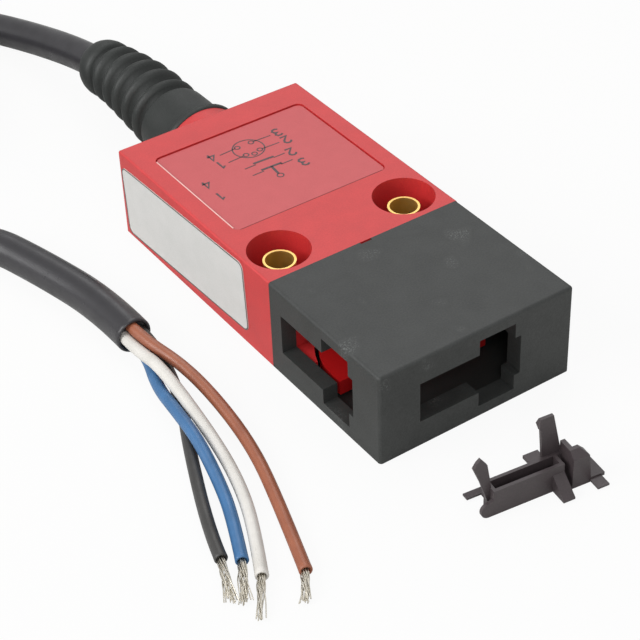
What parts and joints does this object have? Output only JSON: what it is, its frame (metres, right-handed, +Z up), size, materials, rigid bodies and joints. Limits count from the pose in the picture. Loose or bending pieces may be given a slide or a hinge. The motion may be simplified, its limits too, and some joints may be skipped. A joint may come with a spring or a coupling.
{
  "type": "tongue interlock switch",
  "caption": "Flat rectangular safety interlock switch: red body with two sleeved fixing holes, black head with cross-shaped key slots in front and side, boot, cable with bare cores, loose slot plug.",
  "frame": {"origin": "on the mounting face, midway between the two fixing holes", "axes": "+Z up through the fixing holes, away from the mounting face; -Y towards the head and its front key slot; +Y towards the cable; -X towards the side key slot"},
  "size_m": [0.1116, 0.189, 0.015],
  "materials": {
    "red_plastic": "fine matt moulded",
    "black_plastic": "fine matt moulded",
    "steel": "ground",
    "brass": "turned",
    "label_film": "satin film",
    "white_label": "satin film",
    "white_plastic": "moulded",
    "black_rubber": "matt moulded",
    "silver": "pressed",
    "brown_pvc": "extruded",
    "blue_pvc": "extruded",
    "black_pvc": "extruded",
    "white_pvc": "extruded",
    "resin": "cast",
    "jacket_pvc": "extruded",
    "tinned_copper": "drawn strands",
    "grey_plastic": "moulded",
    "drum_plastic": "moulded"
  },
  "bodies": {
    "case": {"housing": "red_plastic", "bottom_cover": "red_plastic", "head_shell": "black_plastic", "head_base": "black_plastic", "drum_axle": "steel", "mounting_sleeves": "brass", "label_panel": "label_film", "side_label": "white_label", "plunger_guide": "white_plastic", "plunger_seal": "black_rubber", "contact_base": "white_plastic", "nc_fixed_contacts": "brass", "no_fixed_contacts": "brass", "fixed_contact_tips": "silver", "lead_brown": "brown_pvc", "lead_blue": "blue_pvc", "lead_black": "black_pvc", "lead_white": "white_pvc", "potting_block": "resin", "return_spring": "steel", "cable_boot": "black_rubber", "cable_run_out": "jacket_pvc", "cable_coil": "jacket_pvc", "cable_run_back": "jacket_pvc", "core_brown": "brown_pvc", "core_white": "white_pvc", "core_blue": "blue_pvc", "core_black": "black_pvc", "core_ends": "tinned_copper", "slot_plug": "grey_plastic"},
    "cam_drum": {"drum": "drum_plastic"},
    "plunger_slide": {"plunger": "white_plastic", "contact_carriage": "white_plastic", "nc_bridge": "brass", "no_bridge": "brass", "moving_contact_tips": "silver", "contact_springs": "steel"}
  },
  "joints": [
    {"name": "drum_turn", "type": "hinge", "parent": "case", "child": "cam_drum", "pos_m": [-0.0015, -0.0166, 0.0075], "axis": [0, 0, 1], "range_deg": [0, 60]},
    {"name": "plunger_travel", "type": "slide", "parent": "case", "child": "plunger_slide", "axis": [0, 1, 0], "range_m": [-0.0025, 0], "deforming": ["return_spring"]}
  ],
  "couplings": [
    {"joint": "plunger_travel", "follows": "drum_turn", "m_per_rad": -0.0023871}
  ]
}
